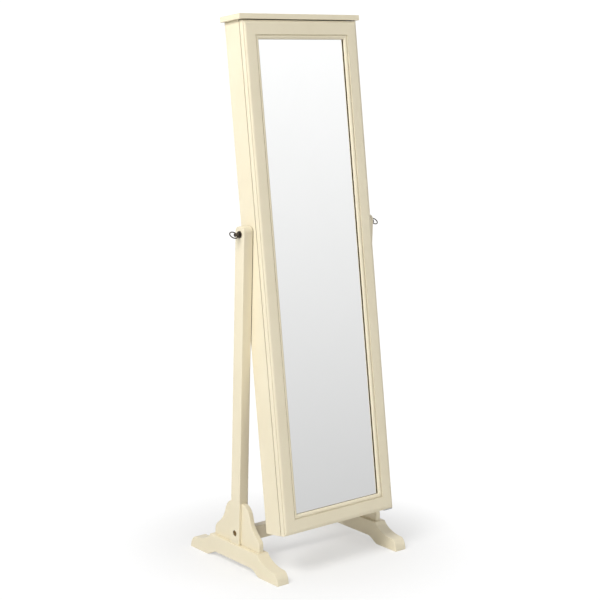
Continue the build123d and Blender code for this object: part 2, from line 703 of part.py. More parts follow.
def hinge_pin(end):
    """Pin on the door's axis, from the fixed plate into the door's leaf."""
    plate_z = CASE_TOP_Z + TOP_PLATE_THICKNESS if end > 0 else CASE_BOTTOM_Z - BOTTOM_PLATE_THICKNESS
    edge_z = DOOR_TOP_Z if end > 0 else DOOR_BOTTOM_Z
    length = abs(plate_z - edge_z) + 10
    return rod((DOOR_PIN_X, DOOR_PIN_Y, plate_z), (0, 0, -end), length, DOOR_PIN_DIAMETER)


def top_pivot_plate():
    """Plate in the underside of the cap that carries the upper pin."""
    front = DOOR_PIN_Y - LEAF_WIDTH / 2
    plate = block(
        (CASE_HALF_WIDTH - LEAF_LENGTH, CASE_HALF_WIDTH),
        (front, front + LEAF_WIDTH),
        (CASE_TOP_Z, CASE_TOP_Z + TOP_PLATE_THICKNESS),
    )
    return plate - hinge_pin(1)


def bottom_pivot_plate():
    """Plate under the case that reaches forward below the door."""
    z_range = (CASE_BOTTOM_Z - BOTTOM_PLATE_THICKNESS, CASE_BOTTOM_Z)
    front = DOOR_PIN_Y - LEAF_WIDTH / 2
    plate = block((CASE_HALF_WIDTH - LEAF_LENGTH, CASE_HALF_WIDTH - 0.5), (front, 6), z_range)
    plate = fillet(plate.edges().filter_by(Axis.Z), 3.0)
    return plate - hinge_pin(-1)


def catch():
    """Magnetic catch on the left side of the case, just behind the door."""
    wall = -(CASE_HALF_WIDTH - PANEL)
    front = DOOR_BACK_Y + 0.8
    body = block((wall, wall + 14), (front, front + 18), (CATCH_Z - 22, CATCH_Z + 22))
    return fillet(body.edges().filter_by(Axis.Y).group_by(Axis.X)[-1], 2.0)


def strike_plate():
    """Steel plate let into the back of the left stile, opposite the catch."""
    return block(
        (CATCH_X - 9, CATCH_X + 7),
        (DOOR_BACK_Y - STRIKE_THICKNESS, DOOR_BACK_Y),
        (CATCH_Z - 20, CATCH_Z + 20),
    )


# ---------------------------------------------------------------- all pieces

def stand_pieces():
    pieces = {"stretcher": stretcher()}
    for name, side in SIDES.items():
        pieces[f"{name}_foot"] = foot(side)
        pieces[f"{name}_post"] = post(side)
        pieces[f"{name}_front_bracket"] = bracket(side, -1)
        pieces[f"{name}_rear_bracket"] = bracket(side, 1)
        pieces[f"{name}_rosette"] = rosette(side)
    sides = SIDES.values()
    pieces["stretcher_bolts"] = [stretcher_bolt(side) for side in sides]
    pieces["barrel_nuts"] = [barrel_nut(side) for side in sides]
    pieces["stretcher_dowels"] = [stretcher_dowel(side) for side in sides]
    pieces["bracket_dowels"] = [pin for side in sides for pin in bracket_dowel_rods(side)]
    pieces["foot_bolts"] = [foot_bolt(side, y) for side in sides for y in (-FOOT_BOLT_Y, FOOT_BOLT_Y)]
    return pieces


def knob_pieces():
    pieces = {}
    for name, side in SIDES.items():
        pieces[f"{name}_knob"] = knob(side)
        pieces[f"{name}_knob_stud"] = knob_stud(side)
    return pieces


def cabinet_pieces():
    back = back_panel()
    screws = [back_screw(place) for place in back_screw_places()]
    panels = {f"{name}_side_panel": side_panel(side) for name, side in SIDES.items()}
    panels["top_panel"] = end_panel((CASE_TOP_Z - END_PANEL, CASE_TOP_Z))
    panels["bottom_panel"] = end_panel((CASE_BOTTOM_Z, CASE_BOTTOM_Z + END_PANEL))
    for screw in screws:
        back -= screw
        panels = {name: panel - screw for name, panel in panels.items()}
    cap_screws = [cap_screw(place) for place in cap_screw_places()]
    for screw in cap_screws:
        panels["top_panel"] -= screw
    pieces = dict(panels)
    pieces["back_panel"] = back
    pieces["back_screws"] = screws
    pieces["top_cap"] = top_cap()
    pieces["cap_screws"] = cap_screws
    pieces["lining_panel"] = lining()
    pieces["necklace_rail"] = hook_rail()
    pieces["necklace_hooks"] = [hook(index) for index in range(HOOK_COUNT)]
    pieces["earring_bars"] = [earring_bar(top) for top in EARRING_BAR_TOPS]
    pieces["ring_cushion"] = ring_cushion()
    for number, top_z in enumerate(SHELF_TOPS, start=1):
        pieces[f"shelf_{number}"] = shelf(top_z)
        pieces[f"shelf_lip_{number}"] = shelf_lip(top_z)
    pieces["pivot_inserts"] = [pivot_insert(side) for side in SIDES.values()]
    pieces["spacer_washers"] = [spacer_washer(side) for side in SIDES.values()]
    pieces["top_pivot_plate"] = top_pivot_plate()
    pieces["bottom_pivot_plate"] = bottom_pivot_plate()
    pieces["door_pins"] = [hinge_pin(end) for end in (-1, 1)]
    pieces["magnetic_catch"] = catch()
    return pieces


def door_pieces():
    backing_front = GLASS_FRONT_Y + GLASS_THICKNESS
    pieces = {f"{name}_stile": stile(side) for name, side in SIDES.items()}
    pieces["top_rail"] = rail(1)
    pieces["bottom_rail"] = rail(-1)
    pieces["mirror_glass"] = pane(GLASS_FRONT_Y, GLASS_THICKNESS)
    pieces["mirror_backing"] = pane(backing_front, BACKING_THICKNESS)
    pieces["mirror_stops"] = mirror_stops()
    pieces["door_leaves"] = [door_leaf(end) for end in (-1, 1)]
    pieces["strike_plate"] = strike_plate()
    return pieces


def write_step(name, piece, place=lambda shape: shape):
    """Writes one piece, or a group of like pieces, to its own file."""
    if isinstance(piece, list):
        piece = Compound(children=[place(solid) for solid in piece])
    else:
        piece = place(piece)
    export_step(piece, f"parts/{name}.step")


os.makedirs("parts", exist_ok=True)
for name, piece in (stand_pieces() | knob_pieces()).items():
    write_step(name, piece)
for name, piece in (cabinet_pieces() | door_pieces()).items():
    write_step(name, piece, tilted)
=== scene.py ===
import json
import math
from random import Random

import bmesh
import bpy
from mathutils import Matrix, Vector


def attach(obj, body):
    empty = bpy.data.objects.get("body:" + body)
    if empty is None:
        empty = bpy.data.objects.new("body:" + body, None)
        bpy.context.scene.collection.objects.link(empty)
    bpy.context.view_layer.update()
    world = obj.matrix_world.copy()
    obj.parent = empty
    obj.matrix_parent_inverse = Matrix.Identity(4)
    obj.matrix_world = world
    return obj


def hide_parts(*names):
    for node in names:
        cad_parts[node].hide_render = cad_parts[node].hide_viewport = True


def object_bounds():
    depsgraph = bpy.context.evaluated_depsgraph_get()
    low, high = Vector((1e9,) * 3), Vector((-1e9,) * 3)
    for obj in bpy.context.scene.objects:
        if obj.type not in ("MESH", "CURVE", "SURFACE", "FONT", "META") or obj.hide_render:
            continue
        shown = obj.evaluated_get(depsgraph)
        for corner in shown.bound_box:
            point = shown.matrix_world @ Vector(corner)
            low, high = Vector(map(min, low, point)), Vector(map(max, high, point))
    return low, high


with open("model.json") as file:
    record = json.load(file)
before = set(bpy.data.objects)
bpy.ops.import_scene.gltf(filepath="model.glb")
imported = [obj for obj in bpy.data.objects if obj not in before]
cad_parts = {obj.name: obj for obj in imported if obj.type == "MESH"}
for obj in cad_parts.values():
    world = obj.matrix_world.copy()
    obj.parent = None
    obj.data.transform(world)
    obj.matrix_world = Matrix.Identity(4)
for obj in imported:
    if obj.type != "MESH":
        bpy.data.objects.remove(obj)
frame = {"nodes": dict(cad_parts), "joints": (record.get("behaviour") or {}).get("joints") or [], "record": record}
cad_low, cad_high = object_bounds()

NODES = frame["nodes"]
JOINTS = {joint["name"]: joint for joint in frame["joints"]}
PIVOT = Vector(JOINTS["cabinet_tilt"]["pos_m"])
DOOR_AXIS = Vector(JOINTS["door_hinge"]["axis"]).normalized()
TILT = math.atan2(DOOR_AXIS.y, DOOR_AXIS.z)

# The cabinet leans back at rest: this turns its upright frame into the object's own.
LEAN = Matrix.Translation(PIVOT) @ Matrix.Rotation(-TILT, 4, "X")
UPRIGHT = LEAN.inverted()

# Mirror: its reflecting face lies a glass thickness behind its front.
SILVER_DEPTH = 0.0028
PANE_GROUND = 0.0008

# Ring cushion: each roll is closed over a short length at both ends.
ROLL_COUNT = 4
ROLL_STEPS = 90
ROLL_SIDES = 24
ROLL_END = 0.007
ROLL_LEAST = 0.0006  # half-width and height left at the very tip
ROLL_FULLNESS = 0.72
ROLL_WAVE = 0.03
ROLL_WAVE_ANGLE = 38  # radians of waves along a roll
ROLL_UNEVENNESS = 0.02

# Screws: head radius, head height, shank radius and shank length.
PLATE_SCREW = (0.0022, 0.0005, 0.0009, 0.006)
STOP_SCREW = (0.0022, 0.0006, 0.0009, 0.003)
BACK_SCREW_HEAD_RADIUS = 0.003
BACK_SCREW_SHANK = (0.0012, 0.012)
SCREW_SIDES = 28
SCREW_DOME_STEPS = 6
SCREW_RIM = 0.35  # straight part of the head, of its height
CROSS_WIDTH = 0.26  # of the head's radius, like the length
CROSS_LENGTH = 1.15
CROSS_BLOCK_HEIGHT = 1.3  # of the head's height, centred on its top

# Seats of the small screws. On the pivot plate: across from its middle, back from its front edge.
PIVOT_PLATE_SEATS = ((-0.011, 0.026), (0.0, 0.026), (-0.005, 0.037))
STRIKE_SCREW_REACH = 0.013
CATCH_SCREW_REACH = 0.015
CATCH_SCREW_SHIFT = 0.001
STOP_WIDTH = 0.009
STOP_SCREW_PITCH = 0.20

# Studio: strengths of the world in reflections, as soft light, and as the camera sees it.
WORLD_LOW = 0.675
WORLD_HIGH = 1.12
WORLD_AMBIENT = 0.25
WORLD_RISE = (-0.10, 0.22)  # reflections go from low to high between these heights of the ray's direction
BACKDROP_WHITE = 1.05
FLOOR_SIZE = 60.0
FLOOR_COLOUR = (0.88, 0.88, 0.875, 1)
FLOOR_FADE = (0.20, 0.70)  # distances from the origin between which the floor's painted white glow rises to full
FLOOR_LEAST_GLOW = 0.45  # share of painted white glow under the object, which lightens its cast shadow there

CAMERA_PLACE = (-2.8497, -3.2899, 1.6209)
CAMERA_TURN = (-40.72, -11.14, 1.41)  # yaw, pitch and roll in degrees
CAMERA_LENS = 90.75
CAMERA_SENSOR = 36.0


# ---------------------------------------------------------------- material nodes

def map_range(tree, value, low, high, start=0.0, end=1.0, smooth=False):
    """Turns start to end of a value into low to high."""
    node = tree.nodes.new("ShaderNodeMapRange")
    if smooth:
        node.interpolation_type = "SMOOTHSTEP"
    for name, number in (("From Min", start), ("From Max", end), ("To Min", low), ("To Max", high)):
        node.inputs[name].default_value = number
    tree.links.new(value, node.inputs["Value"])
    return node.outputs["Result"]


class Shader:
    """A material and the few node shapes that this object's finishes share."""

    edge_samples = 6
    crevice_shade_samples = 8

    def __init__(self, name):
        self.material = bpy.data.materials.new(name)
        self.material.use_nodes = True
        self.tree = self.material.node_tree
        self.bsdf = self.tree.nodes["Principled BSDF"]
        coordinates = self.tree.nodes.new("ShaderNodeTexCoord")
        self.place = coordinates.outputs["Object"]

    def link(self, source, target):
        self.tree.links.new(source, target)

    def set(self, **values):
        for name, value in values.items():
            self.bsdf.inputs[name.replace("_", " ")].default_value = value

    def stretched(self, scale):
        node = self.tree.nodes.new("ShaderNodeMapping")
        node.inputs["Scale"].default_value = scale
        self.link(self.place, node.inputs["Vector"])
        return node.outputs["Vector"]

    def noise(self, scale, detail=3.0, roughness=0.5, stretch=None, distortion=0.0):
        node = self.tree.nodes.new("ShaderNodeTexNoise")
        node.inputs["Scale"].default_value = scale
        node.inputs["Detail"].default_value = detail
        node.inputs["Roughness"].default_value = roughness
        node.inputs["Distortion"].default_value = distortion
        self.link(self.stretched(stretch) if stretch else self.place, node.inputs["Vector"])
        return node.outputs["Fac"]

    def ramp(self, value, stops):
        node = self.tree.nodes.new("ShaderNodeValToRGB")
        elements = node.color_ramp.elements
        for index, (position, colour) in enumerate(stops):
            element = elements[index] if index < 2 else elements.new(position)
            element.position = position
            element.color = (*colour, 1)
        self.link(value, node.inputs["Fac"])
        return node.outputs["Color"]

    def span(self, value, low, high):
        return map_range(self.tree, value, low, high)

    def product(self, first, second):
        node = self.tree.nodes.new("ShaderNodeMath")
        node.operation = "MULTIPLY"
        for socket, value in zip(node.inputs, (first, second)):
            if isinstance(value, (int, float)):
                socket.default_value = value
            else:
                self.link(value, socket)
        return node.outputs["Value"]

    def mix(self, factor, first, second):
        node = self.tree.nodes.new("ShaderNodeMix")
        node.data_type = "RGBA"
        for name, value in (("Factor", factor), ("A", first), ("B", second)):
            sockets = [s for s in node.inputs if s.name == name and s.enabled]
            if isinstance(value, tuple):
                sockets[0].default_value = (*value, 1)
            elif isinstance(value, (int, float)):
                sockets[0].default_value = value
            else:
                self.link(value, sockets[0])
        return [s for s in node.outputs if s.enabled][0]

    def rounded_normal(self, radius):
        node = self.tree.nodes.new("ShaderNodeBevel")
        node.samples = self.edge_samples
        node.inputs["Radius"].default_value = radius
        return node.outputs["Normal"]

    def bump(self, height, strength, distance, rounding=0.0):
        node = self.tree.nodes.new("ShaderNodeBump")
        node.inputs["Strength"].default_value = strength
        node.inputs["Distance"].default_value = distance
        self.link(height, node.inputs["Height"])
        if rounding:
            self.link(self.rounded_normal(rounding), node.inputs["Normal"])
        self.link(node.outputs["Normal"], self.bsdf.inputs["Normal"])

    def painted_crevice_shade(self, distance, low, high):
        """Painted shade: 1 deep in narrow joints and grooves and under overhangs, 0 on open faces."""
        node = self.tree.nodes.new("ShaderNodeAmbientOcclusion")
        node.samples = self.crevice_shade_samples
        node.inputs["Distance"].default_value = distance
        return map_range(self.tree, node.outputs["AO"], 1.0, 0.0, low, high, smooth=True)

    def edge_mask(self, radius, low, high):
        """1 along sharp outer edges and inner corners, 0 on flat faces."""
        geometry = self.tree.nodes.new("ShaderNodeNewGeometry")
        node = self.tree.nodes.new("ShaderNodeVectorMath")
        node.operation = "DOT_PRODUCT"
        self.link(self.rounded_normal(radius), node.inputs[0])
        self.link(geometry.outputs["Normal"], node.inputs[1])
        return map_range(self.tree, node.outputs["Value"], 1.0, 0.0, low, high)


def cream_paint():
    """Satin cream lacquer: faint cloudiness and streaks, rubbed edges, painted shade in the joints and grooves."""
    shader = Shader("cream_paint")
    cloud = shader.noise(5.0, detail=4.0, roughness=0.6)
    colour = shader.ramp(cloud, [(0.3, (0.800, 0.722, 0.535)), (0.7, (0.835, 0.760, 0.575))])
    streaks = shader.noise(60.0, detail=2.0, stretch=(1.0, 1.0, 0.05))
    colour = shader.mix(shader.span(streaks, 0.0, 0.10), colour, (0.70, 0.61, 0.44))
    rubbed = shader.product(shader.edge_mask(0.0012, 0.80, 0.99), shader.noise(38.0, detail=4.0))
    colour = shader.mix(shader.product(rubbed, 0.35), colour, (0.66, 0.56, 0.38))
    # painted shade: dark brown laid into joints, grooves and under overhangs where shade falls
    colour = shader.mix(shader.painted_crevice_shade(0.007, 0.10, 0.62), colour, (0.235, 0.185, 0.105))
    shader.link(colour, shader.bsdf.inputs["Base Color"])
    gloss = shader.noise(24.0, detail=3.0)
    shader.link(shader.span(gloss, 0.34, 0.48), shader.bsdf.inputs["Roughness"])
    peel = shader.noise(420.0, detail=2.0)
    shader.bump(peel, 0.16, 0.0004, rounding=0.0008)
    shader.set(Coat_Weight=0.12, Coat_Roughness=0.3, IOR=1.47)
    return shader.material


def mirror_silver():
    """Silvered glass: nearly perfect, with faint wiping marks in its gloss."""
    shader = Shader("mirror_silver")
    haze = shader.noise(7.0, detail=5.0, roughness=0.65, distortion=0.6)
    shader.link(shader.span(haze, 0.0, 0.016), shader.bsdf.inputs["Roughness"])
    tint = shader.ramp(haze, [(0.3, (0.905, 0.910, 0.907)), (0.7, (0.915, 0.919, 0.917))])
    shader.link(tint, shader.bsdf.inputs["Base Color"])
    shader.set(Metallic=1.0)
    return shader.material


def metal(name, dark, light, roughness, patina_scale, rounding=0.0004):
    """Metal whose tone and gloss vary between two colours, brighter along rubbed edges."""
    shader = Shader(name)
    patina = shader.noise(patina_scale, detail=5.0, roughness=0.6)
    colour = shader.ramp(patina, [(0.35, dark), (0.7, light)])
    bright = tuple(min(1.0, channel * 2.2) for channel in light)
    colour = shader.mix(shader.edge_mask(0.0005, 0.70, 0.98), colour, bright)
    shader.link(colour, shader.bsdf.inputs["Base Color"])
    gloss = shader.span(patina, roughness - 0.07, roughness + 0.10)
    shader.link(gloss, shader.bsdf.inputs["Roughness"])
    shader.bump(shader.noise(patina_scale * 6, detail=3.0), 0.12, 0.0002, rounding=rounding)
    shader.set(Metallic=1.0)
    return shader.material


def velvet():
    """Short-pile lining: fine tufts, soft shading patches and a sheen at the rim."""
    shader = Shader("velvet_lining")
    tufts = shader.noise(1500.0, detail=2.0)
    patches = shader.noise(14.0, detail=3.0, roughness=0.6, distortion=0.8)
    pile = shader.mix(shader.span(patches, 0.2, 0.8), (0.030, 0.020, 0.017), (0.062, 0.044, 0.037))
    colour = shader.mix(shader.span(tufts, 0.0, 0.5), pile, (0.014, 0.009, 0.008))
    shader.link(colour, shader.bsdf.inputs["Base Color"])
    shader.bump(tufts, 0.55, 0.0006)
    shader.set(Roughness=0.95, Sheen_Weight=0.7, Sheen_Roughness=0.35)
    shader.set(Sheen_Tint=(0.75, 0.66, 0.60, 1))
    return shader.material


def hardboard():
    """Brown pressed fibreboard with short flecks."""
    shader = Shader("hardboard")
    flecks = shader.noise(260.0, detail=4.0, roughness=0.7, stretch=(1.0, 1.0, 0.35))
    colour = shader.ramp(flecks, [(0.3, (0.165, 0.092, 0.047)), (0.7, (0.300, 0.185, 0.105))])
    shader.link(colour, shader.bsdf.inputs["Base Color"])
    shader.bump(flecks, 0.25, 0.0004)
    shader.set(Roughness=0.78)
    return shader.material


def bare_wood():
    """Pale beech with grain along the dowels."""
    shader = Shader("bare_wood")
    grain = shader.noise(120.0, detail=4.0, stretch=(0.15, 1.0, 1.0))
    colour = shader.ramp(grain, [(0.3, (0.48, 0.31, 0.16)), (0.7, (0.62, 0.44, 0.25))])
    shader.link(colour, shader.bsdf.inputs["Base Color"])
    shader.bump(grain, 0.2, 0.0003)
    shader.set(Roughness=0.6)
    return shader.material


def moulded_plastic(name, low, high, roughness):
    """Moulded plastic with a fine spark-eroded texture."""
    shader = Shader(name)
    shade = shader.noise(40.0, detail=3.0)
    shader.link(shader.ramp(shade, [(0.3, low), (0.7, high)]), shader.bsdf.inputs["Base Color"])
    shader.link(shader.span(shade, roughness - 0.05, roughness + 0.05), shader.bsdf.inputs["Roughness"])
    shader.bump(shader.noise(900.0, detail=2.0), 0.15, 0.0002, rounding=0.0004)
    return shader.material


MATERIALS = {
    "cream_paint": cream_paint(),
    "mirror": mirror_silver(),
    "antique_metal": metal("antique_metal", (0.050, 0.040, 0.032), (0.150, 0.125, 0.100), 0.34, 160.0),
    "brass_hardware": metal("antique_brass", (0.190, 0.120, 0.048), (0.420, 0.290, 0.135), 0.32, 120.0),
    "steel": metal("zinc_steel", (0.400, 0.410, 0.420), (0.560, 0.560, 0.550), 0.30, 90.0),
    "felt": velvet(),
    "fibreboard": hardboard(),
    "bare_wood": bare_wood(),
    "plastic": moulded_plastic("nylon", (0.72, 0.69, 0.61), (0.80, 0.77, 0.70), 0.45),
    "catch_plastic": moulded_plastic("catch_plastic", (0.60, 0.55, 0.46), (0.68, 0.63, 0.54), 0.40),
}


def finish_cad_nodes():
    """Gives each carried-over CAD node the material of its slot."""
    slots = {entry["node"]: entry["material_slot"] for entry in frame["record"]["subparts"]}
    for name, node in NODES.items():
        node.data.materials.clear()
        node.data.materials.append(MATERIALS[slots[name]])


finish_cad_nodes()


# ---------------------------------------------------------------- own pieces

def limits(points):
    """Lowest and highest corner of some points."""
    low = Vector(min(point[axis] for point in points) for axis in range(3))
    high = Vector(max(point[axis] for point in points) for axis in range(3))
    return low, high


def upright_box(node):
    """Corners of a cabinet or door node in the cabinet's upright frame."""
    return limits([UPRIGHT @ vertex.co for vertex in NODES[node].data.vertices])


def upright_parts(node):
    """Corners of each separate solid of a node, in the cabinet's upright frame."""
    mesh = bmesh.new()
    mesh.from_mesh(NODES[node].data)
    bmesh.ops.remove_doubles(mesh, verts=mesh.verts, dist=1e-6)
    left = set(mesh.verts)
    parts = []
    while left:
        front = [left.pop()]
        found = []
        while front:
            vertex = front.pop()
            found.append(UPRIGHT @ vertex.co)
            for edge in vertex.link_edges:
                other = edge.other_vert(vertex)
                if other in left:
                    left.remove(other)
                    front.append(other)
        parts.append(limits(found))
    mesh.free()
    return sorted(parts, key=lambda box: tuple(round(value, 4) for value in box[0]))


def lathe(profile, steps):
    """Closed mesh of revolution about +Z; its (radius, height) points start and end on the axis."""
    mesh = bmesh.new()
    rings = []
    for radius, height in profile:
        if radius == 0:
            rings.append([mesh.verts.new((0, 0, height))])
            continue
        turns = [2 * math.pi * step / steps for step in range(steps)]
        rings.append([mesh.verts.new((radius * math.cos(a), radius * math.sin(a), height)) for a in turns])
    for lower, upper in zip(rings, rings[1:]):
        for step in range(steps):
            after = (step + 1) % steps
            corners = [lower[step % len(lower)], lower[after % len(lower)]]
            corners += [upper[after % len(upper)], upper[step % len(upper)]]
            mesh.faces.new(list(dict.fromkeys(corners)))
    bmesh.ops.recalc_face_normals(mesh, faces=mesh.faces)
    return mesh


def loft(solid, outlines):
    """Adds a closed skin over outlines that have the same number of points."""
    rings = [[solid.verts.new(point) for point in outline] for outline in outlines]
    solid.faces.new(rings[0])
    solid.faces.new(rings[-1][::-1])
    for first, second in zip(rings, rings[1:]):
        for step in range(len(first)):
            after = (step + 1) % len(first)
            solid.faces.new([first[step], second[step], second[after], first[after]])


def leaned_mesh(name, solid):
    """Mesh of a solid that was built in the upright frame, leaned with the cabinet."""
    bmesh.ops.recalc_face_normals(solid, faces=solid.faces)
    mesh = bpy.data.meshes.new(name)
    solid.to_mesh(mesh)
    solid.free()
    mesh.transform(LEAN)
    return mesh


def applied(thing):
    """The object's mesh with its modifiers applied."""
    graph = bpy.context.evaluated_depsgraph_get()
    return bpy.data.meshes.new_from_object(thing.evaluated_get(graph))


def screw_mesh(head_radius, head_height, shank_radius, shank_length):
    """Pan-head screw along +Z, its seat at z = 0, with a cross recess."""
    rim = SCREW_RIM * head_height
    profile = [(0, -shank_length), (shank_radius * 0.5, -shank_length)]
    profile += [(shank_radius, -shank_length * 0.9), (shank_radius, 0)]
    profile += [(head_radius, 0), (head_radius, rim)]
    for step in range(1, SCREW_DOME_STEPS + 1):
        angle = math.pi / 2 * step / SCREW_DOME_STEPS
        radius = head_radius * math.cos(angle) if step < SCREW_DOME_STEPS else 0
        profile.append((radius, rim + (head_height - rim) * math.sin(angle)))
    solid = lathe(profile, SCREW_SIDES)
    mesh = bpy.data.meshes.new("screw")
    solid.to_mesh(mesh)
    solid.free()
    screw = bpy.data.objects.new("screw", mesh)
    bpy.context.scene.collection.objects.link(screw)
    cutters = []
    for width, length in ((CROSS_WIDTH, CROSS_LENGTH), (CROSS_LENGTH, CROSS_WIDTH)):
        bpy.ops.mesh.primitive_cube_add(size=1.0, location=(0, 0, head_height))
        cutter = bpy.context.object
        block_height = CROSS_BLOCK_HEIGHT * head_height
        cutter.scale = (width * head_radius, length * head_radius, block_height)
        modifier = screw.modifiers.new("recess", "BOOLEAN")
        modifier.operation = "DIFFERENCE"
        modifier.solver = "EXACT"
        modifier.object = cutter
        cutters.append(cutter)
    bpy.context.view_layer.update()
    result = applied(screw)
    for helper in [screw] + cutters:
        bpy.data.objects.remove(helper)
    return result


def add_piece(name, mesh, slot, body, smooth=None):
    """Names an own piece, gives it its slot's finish and lets it ride on a body."""
    piece = bpy.data.objects.new(name, mesh)
    bpy.context.scene.collection.objects.link(piece)
    mesh.materials.clear()
    mesh.materials.append(MATERIALS[slot])
    if smooth is not None:
        mesh.polygons.foreach_set("use_smooth", [True] * len(mesh.polygons))
        mesh.set_sharp_from_angle(angle=math.radians(smooth))
    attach(piece, body)
    return piece


def screw_group(name, places, direction, sizes, slot, body):
    """Several like screws as one piece; places are seats in the upright frame."""
    one = screw_mesh(*sizes)
    random = Random(name)
    aim = Vector(direction).to_track_quat("Z", "Y").to_matrix().to_4x4()
    group = bmesh.new()
    for place in places:
        turn = Matrix.Rotation(random.uniform(0, math.pi), 4, "Z")
        copy = one.copy()
        copy.transform(LEAN @ Matrix.Translation(place) @ aim @ turn)
        group.from_mesh(copy)
        bpy.data.meshes.remove(copy)
    mesh = bpy.data.meshes.new(name)
    group.to_mesh(mesh)
    group.free()
    bpy.data.meshes.remove(one)
    return add_piece(name, mesh, slot, body, smooth=35)


def back_panel_screws():
    """Phillips screws round the back panel, in the places of the plain ones."""
    face_y = upright_box("back_panel")[1].y
    head = upright_box("back_screws")[1].y - face_y
    places = []
    for low, high in upright_parts("back_screws"):
        middle = (low + high) / 2
        places.append(Vector((middle.x, face_y, middle.z)))
    sizes = (BACK_SCREW_HEAD_RADIUS, head, *BACK_SCREW_SHANK)
    screws = screw_group("back_panel_screws", places, (0, 1, 0), sizes, "steel", "cabinet")
    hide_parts("back_screws")


def plate_screws():
    """Small screws that hold the pivot plate, the strike plate and the catch."""
    low, high = upright_box("bottom_pivot_plate")
    middle = (low + high) / 2
    places = [Vector((middle.x + x, low.y + y, low.z)) for x, y in PIVOT_PLATE_SEATS]
    screw_group("pivot_plate_screws", places, (0, 0, -1), PLATE_SCREW, "steel", "cabinet")
    low, high = upright_box("strike_plate")
    middle = (low + high) / 2
    reaches = (-STRIKE_SCREW_REACH, STRIKE_SCREW_REACH)
    places = [Vector((middle.x, high.y, middle.z + z)) for z in reaches]
    screw_group("strike_plate_screws", places, (0, 1, 0), PLATE_SCREW, "steel", "door")
    low, high = upright_box("magnetic_catch")
    middle = (low + high) / 2
    reaches = (-CATCH_SCREW_REACH, CATCH_SCREW_REACH)
    places = [Vector((high.x, middle.y + CATCH_SCREW_SHIFT, middle.z + z)) for z in reaches]
    screw_group("catch_screws", places, (1, 0, 0), PLATE_SCREW, "steel", "cabinet")


def stop_screws():
    """Screws along the strips that hold the mirror and its backing in the door."""
    low, high = upright_box("mirror_stops")
    left, right = low.x + STOP_WIDTH / 2, high.x - STOP_WIDTH / 2
    bottom, top = low.z + STOP_WIDTH / 2, high.z - STOP_WIDTH / 2
    places = []
    for start, end in (
        ((left, bottom), (left, top)),
        ((right, bottom), (right, top)),
        ((left, bottom), (right, bottom)),
        ((left, top), (right, top)),
    ):
        start, end = Vector(start), Vector(end)
        count = max(2, round((end - start).length / STOP_SCREW_PITCH))
        for number in range(count):
            spot = start.lerp(end, (number + 0.5) / count)
            places.append(Vector((spot.x, high.y, spot.y)))
    screw_group("mirror_stop_screws", places, (0, 1, 0), STOP_SCREW, "steel", "door")


def mirror_pane():
    """Silvered pane: the reflecting face lies behind the frame's lip by the glass's thickness."""
    low, high = upright_box("mirror_glass")
    front = low.y + SILVER_DEPTH
    outlines = []
    for inset, y in ((PANE_GROUND, front), (0.0, front + PANE_GROUND), (0.0, high.y)):
        x_low, x_high = low.x + inset, high.x - inset
        z_low, z_high = low.z + inset, high.z - inset
        outlines.append([(x_low, y, z_low), (x_high, y, z_low), (x_high, y, z_high), (x_low, y, z_high)])
    solid = bmesh.new()
    loft(solid, outlines)
    pane = add_piece("mirror_pane", leaned_mesh("mirror_pane", solid), "mirror", "door")
    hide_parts("mirror_glass")


def roll_outline(x, y, z, half_width, height):
    """Points round a roll at one place along it, fuller on top than underneath."""
    points = []
    for turn in range(ROLL_SIDES):
        angle = 2 * math.pi * turn / ROLL_SIDES
        lift = 0.5 - 0.5 * math.cos(angle)
        points.append((x, y + math.sin(angle) * half_width, z + height * lift ** ROLL_FULLNESS))
    return points


def ring_rolls():
    """Velvet ring cushion: soft rolls side by side, rounded at their ends."""
    low, high = upright_box("ring_cushion")
    pitch = (high.y - low.y) / ROLL_COUNT
    height = high.z - low.z
    random = Random("ring rolls")
    solid = bmesh.new()
    for number in range(ROLL_COUNT):
        centre_y = low.y + pitch * (number + 0.5)
        phase = random.uniform(0, 2 * math.pi)
        outlines = []
        for step in range(ROLL_STEPS + 1):
            along = step / ROLL_STEPS
            x = low.x + (high.x - low.x) * along
            from_end = min(along, 1 - along) * (high.x - low.x)
            end = math.sqrt(max(0.0, 1 - (1 - min(1.0, from_end / ROLL_END)) ** 2))
            wave = 0.5 + 0.5 * math.sin(phase + ROLL_WAVE_ANGLE * along)
            swell = 1 - ROLL_WAVE * wave - ROLL_UNEVENNESS * random.random()
            half_width = max(ROLL_LEAST, pitch * 0.5 * end)
            crown = max(ROLL_LEAST, height * swell * end)
            outlines.append(roll_outline(x, centre_y, low.z, half_width, crown))
        loft(solid, outlines)
    rolls = add_piece("ring_rolls", leaned_mesh("ring_rolls", solid), "felt", "cabinet", smooth=50)
    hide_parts("ring_cushion")


mirror_pane()
ring_rolls()
back_panel_screws()
plate_screws()
stop_screws()


# ---------------------------------------------------------------- stage

